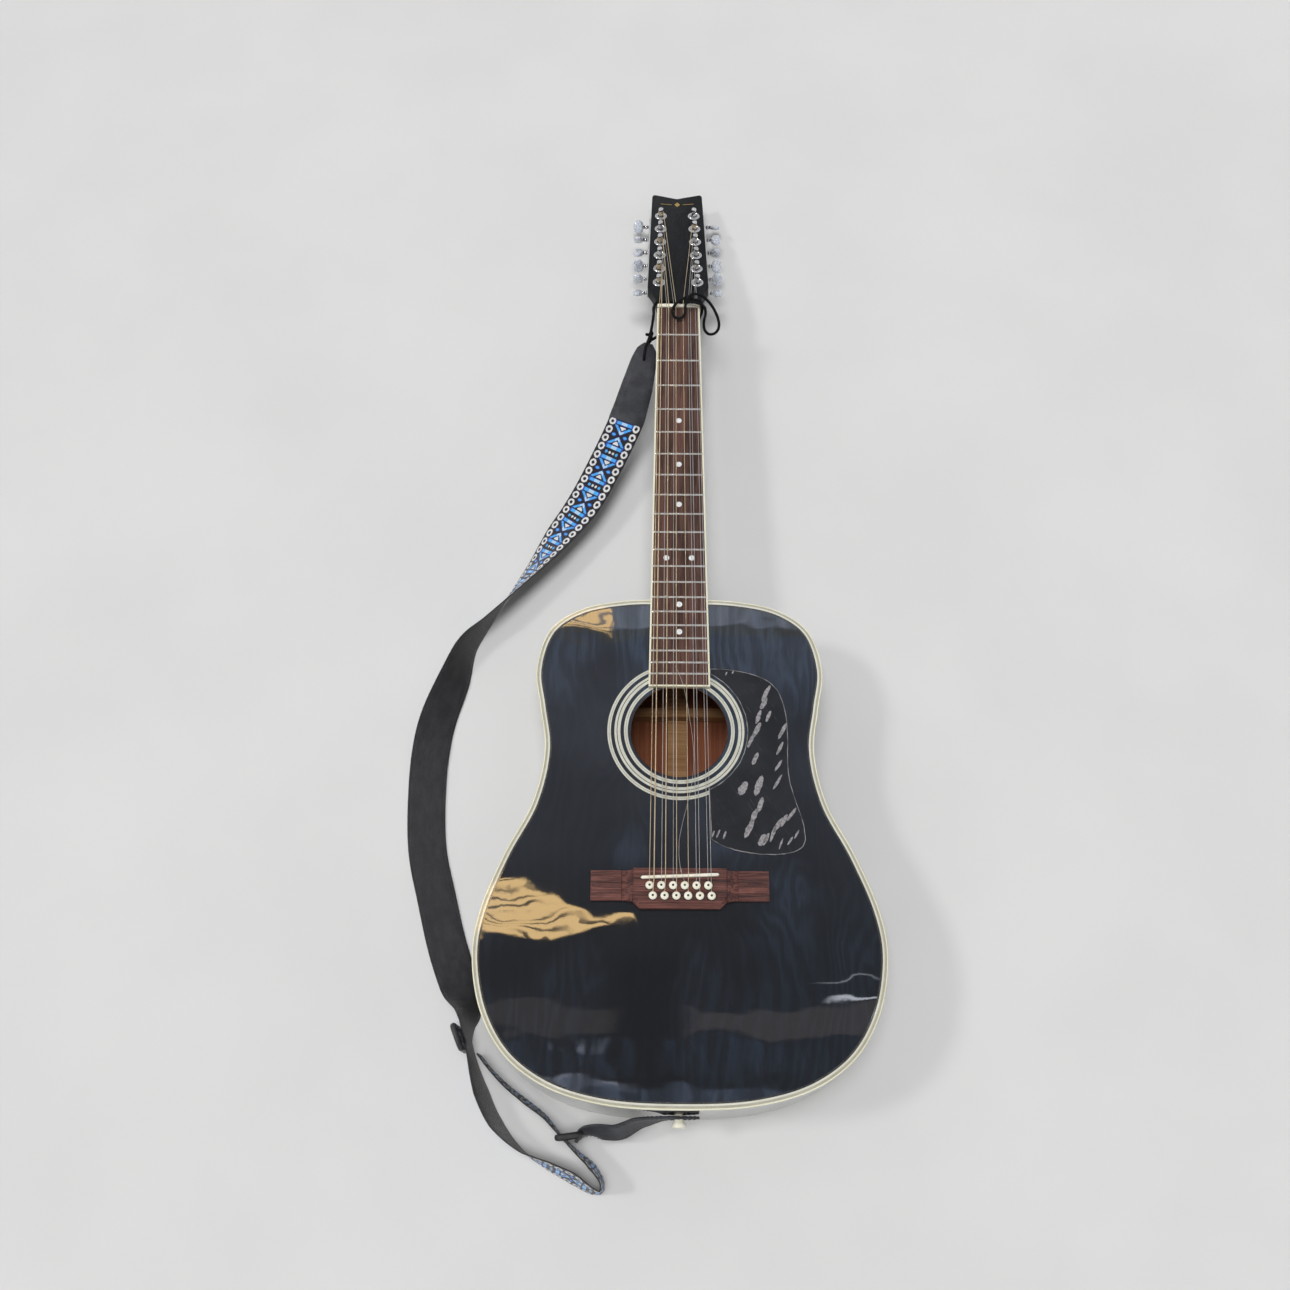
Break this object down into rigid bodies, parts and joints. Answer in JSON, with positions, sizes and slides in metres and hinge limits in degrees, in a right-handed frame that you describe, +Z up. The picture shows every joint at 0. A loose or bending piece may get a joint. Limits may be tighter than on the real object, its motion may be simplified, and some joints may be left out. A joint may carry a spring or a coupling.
{
  "type": "acoustic guitar",
  "caption": "Flat-top acoustic guitar on its back: waisted hollow body with soundhole, long neck, angled headstock with geared tuners, paired strings and a woven shoulder strap.",
  "frame": {"origin": "on the flat of the back, midway along the body, on the instrument's centre line", "axes": "+Y from the tail to the headstock, +X to the treble side, +Z up from the back to the strings"},
  "size_m": [0.478, 1.1386, 0.1296],
  "materials": {
    "black_lacquer": "high gloss black lacquer",
    "spruce": "bare spruce",
    "mahogany": "bare mahogany",
    "rosewood": "oiled rosewood",
    "ivoroid": "cream binding plastic",
    "bone": "bone white",
    "pickguard": "worn black film",
    "chrome": "polished chrome",
    "pearl_button": "pearl plastic on a chrome shaft",
    "string_metal": "bronze-wound and plain steel",
    "rod_steel": "plain steel",
    "leather": "black grained leather",
    "webbing": "woven pattern in blue, white and black with a black backing",
    "strap_plastic": "moulded black plastic",
    "lace": "braided black lace"
  },
  "bodies": {
    "guitar": {"top_plate": "black_lacquer", "side_rim": "black_lacquer", "back_plate": "black_lacquer", "neck": "black_lacquer", "headstock_veneer": "black_lacquer", "top_lining": "spruce", "back_lining": "spruce", "top_braces": "spruce", "back_braces": "spruce", "neck_block": "mahogany", "tail_block": "mahogany", "fingerboard": "rosewood", "bridge": "rosewood", "bridge_plate": "rosewood", "top_binding": "ivoroid", "back_binding": "ivoroid", "rosette": "ivoroid", "end_pin": "ivoroid", "nut": "bone", "saddle": "bone", "pickguard": "pickguard", "tuner_plate_bass": "chrome", "tuner_plate_treble": "chrome", "string_course_low_e": "string_metal", "string_course_a": "string_metal", "string_course_d": "string_metal", "string_course_g": "string_metal", "string_course_b": "string_metal", "string_course_high_e": "string_metal", "truss_rod": "rod_steel", "strap_head_tab": "leather", "strap_tail_tab": "leather", "strap_band": "webbing", "strap_slider": "strap_plastic", "strap_ring": "strap_plastic", "strap_lace": "lace"},
    "key_1": {"tuner_key_1": "pearl_button"},
    "post_1": {"tuner_post_1": "chrome"},
    "key_2": {"tuner_key_2": "pearl_button"},
    "post_2": {"tuner_post_2": "chrome"},
    "key_3": {"tuner_key_3": "pearl_button"},
    "post_3": {"tuner_post_3": "chrome"},
    "key_4": {"tuner_key_4": "pearl_button"},
    "post_4": {"tuner_post_4": "chrome"},
    "key_5": {"tuner_key_5": "pearl_button"},
    "post_5": {"tuner_post_5": "chrome"},
    "key_6": {"tuner_key_6": "pearl_button"},
    "post_6": {"tuner_post_6": "chrome"},
    "key_7": {"tuner_key_7": "pearl_button"},
    "post_7": {"tuner_post_7": "chrome"},
    "key_8": {"tuner_key_8": "pearl_button"},
    "post_8": {"tuner_post_8": "chrome"},
    "key_9": {"tuner_key_9": "pearl_button"},
    "post_9": {"tuner_post_9": "chrome"},
    "key_10": {"tuner_key_10": "pearl_button"},
    "post_10": {"tuner_post_10": "chrome"},
    "key_11": {"tuner_key_11": "pearl_button"},
    "post_11": {"tuner_post_11": "chrome"},
    "key_12": {"tuner_key_12": "pearl_button"},
    "post_12": {"tuner_post_12": "chrome"}
  },
  "joints": [
    {"name": "key_1_turn", "type": "hinge", "parent": "guitar", "child": "key_1", "pos_m": [-0.022, 0.65605, 0.05402], "axis": [-1, 0, 0], "continuous": true},
    {"name": "post_1_turn", "type": "hinge", "parent": "guitar", "child": "post_1", "pos_m": [-0.022, 0.65449, 0.07691], "axis": [0, 0.2843, 0.9587], "continuous": true},
    {"name": "key_2_turn", "type": "hinge", "parent": "guitar", "child": "key_2", "pos_m": [-0.02154, 0.67982, 0.04697], "axis": [-1, 0, 0], "continuous": true},
    {"name": "post_2_turn", "type": "hinge", "parent": "guitar", "child": "post_2", "pos_m": [-0.02154, 0.67827, 0.06985], "axis": [0, 0.2843, 0.9587], "continuous": true},
    {"name": "key_3_turn", "type": "hinge", "parent": "guitar", "child": "key_3", "pos_m": [-0.02108, 0.7036, 0.03992], "axis": [-1, 0, 0], "continuous": true},
    {"name": "post_3_turn", "type": "hinge", "parent": "guitar", "child": "post_3", "pos_m": [-0.02108, 0.70204, 0.0628], "axis": [0, 0.2843, 0.9587], "continuous": true},
    {"name": "key_4_turn", "type": "hinge", "parent": "guitar", "child": "key_4", "pos_m": [-0.02062, 0.72738, 0.03287], "axis": [-1, 0, 0], "continuous": true},
    {"name": "post_4_turn", "type": "hinge", "parent": "guitar", "child": "post_4", "pos_m": [-0.02062, 0.72582, 0.05575], "axis": [0, 0.2843, 0.9587], "continuous": true},
    {"name": "key_5_turn", "type": "hinge", "parent": "guitar", "child": "key_5", "pos_m": [-0.02016, 0.75115, 0.02582], "axis": [-1, 0, 0], "continuous": true},
    {"name": "post_5_turn", "type": "hinge", "parent": "guitar", "child": "post_5", "pos_m": [-0.02016, 0.7496, 0.0487], "axis": [0, 0.2843, 0.9587], "continuous": true},
    {"name": "key_6_turn", "type": "hinge", "parent": "guitar", "child": "key_6", "pos_m": [-0.0197, 0.77493, 0.01877], "axis": [-1, 0, 0], "continuous": true},
    {"name": "post_6_turn", "type": "hinge", "parent": "guitar", "child": "post_6", "pos_m": [-0.0197, 0.77337, 0.04165], "axis": [0, 0.2843, 0.9587], "continuous": true},
    {"name": "key_7_turn", "type": "hinge", "parent": "guitar", "child": "key_7", "pos_m": [0.022, 0.65605, 0.05402], "axis": [1, 0, 0], "continuous": true},
    {"name": "post_7_turn", "type": "hinge", "parent": "guitar", "child": "post_7", "pos_m": [0.022, 0.65449, 0.07691], "axis": [0, 0.2843, 0.9587], "continuous": true},
    {"name": "key_8_turn", "type": "hinge", "parent": "guitar", "child": "key_8", "pos_m": [0.02154, 0.67982, 0.04697], "axis": [1, 0, 0], "continuous": true},
    {"name": "post_8_turn", "type": "hinge", "parent": "guitar", "child": "post_8", "pos_m": [0.02154, 0.67827, 0.06985], "axis": [0, 0.2843, 0.9587], "continuous": true},
    {"name": "key_9_turn", "type": "hinge", "parent": "guitar", "child": "key_9", "pos_m": [0.02108, 0.7036, 0.03992], "axis": [1, 0, 0], "continuous": true},
    {"name": "post_9_turn", "type": "hinge", "parent": "guitar", "child": "post_9", "pos_m": [0.02108, 0.70204, 0.0628], "axis": [0, 0.2843, 0.9587], "continuous": true},
    {"name": "key_10_turn", "type": "hinge", "parent": "guitar", "child": "key_10", "pos_m": [0.02062, 0.72738, 0.03287], "axis": [1, 0, 0], "continuous": true},
    {"name": "post_10_turn", "type": "hinge", "parent": "guitar", "child": "post_10", "pos_m": [0.02062, 0.72582, 0.05575], "axis": [0, 0.2843, 0.9587], "continuous": true},
    {"name": "key_11_turn", "type": "hinge", "parent": "guitar", "child": "key_11", "pos_m": [0.02016, 0.75115, 0.02582], "axis": [1, 0, 0], "continuous": true},
    {"name": "post_11_turn", "type": "hinge", "parent": "guitar", "child": "post_11", "pos_m": [0.02016, 0.7496, 0.0487], "axis": [0, 0.2843, 0.9587], "continuous": true},
    {"name": "key_12_turn", "type": "hinge", "parent": "guitar", "child": "key_12", "pos_m": [0.0197, 0.77493, 0.01877], "axis": [1, 0, 0], "continuous": true},
    {"name": "post_12_turn", "type": "hinge", "parent": "guitar", "child": "post_12", "pos_m": [0.0197, 0.77337, 0.04165], "axis": [0, 0.2843, 0.9587], "continuous": true}
  ],
  "couplings": [
    {"joint": "post_1_turn", "follows": "key_1_turn", "ratio": -0.071429},
    {"joint": "post_2_turn", "follows": "key_2_turn", "ratio": -0.071429},
    {"joint": "post_3_turn", "follows": "key_3_turn", "ratio": -0.071429},
    {"joint": "post_4_turn", "follows": "key_4_turn", "ratio": -0.071429},
    {"joint": "post_5_turn", "follows": "key_5_turn", "ratio": -0.071429},
    {"joint": "post_6_turn", "follows": "key_6_turn", "ratio": -0.071429},
    {"joint": "post_7_turn", "follows": "key_7_turn", "ratio": 0.071429},
    {"joint": "post_8_turn", "follows": "key_8_turn", "ratio": 0.071429},
    {"joint": "post_9_turn", "follows": "key_9_turn", "ratio": 0.071429},
    {"joint": "post_10_turn", "follows": "key_10_turn", "ratio": 0.071429},
    {"joint": "post_11_turn", "follows": "key_11_turn", "ratio": 0.071429},
    {"joint": "post_12_turn", "follows": "key_12_turn", "ratio": 0.071429}
  ]
}
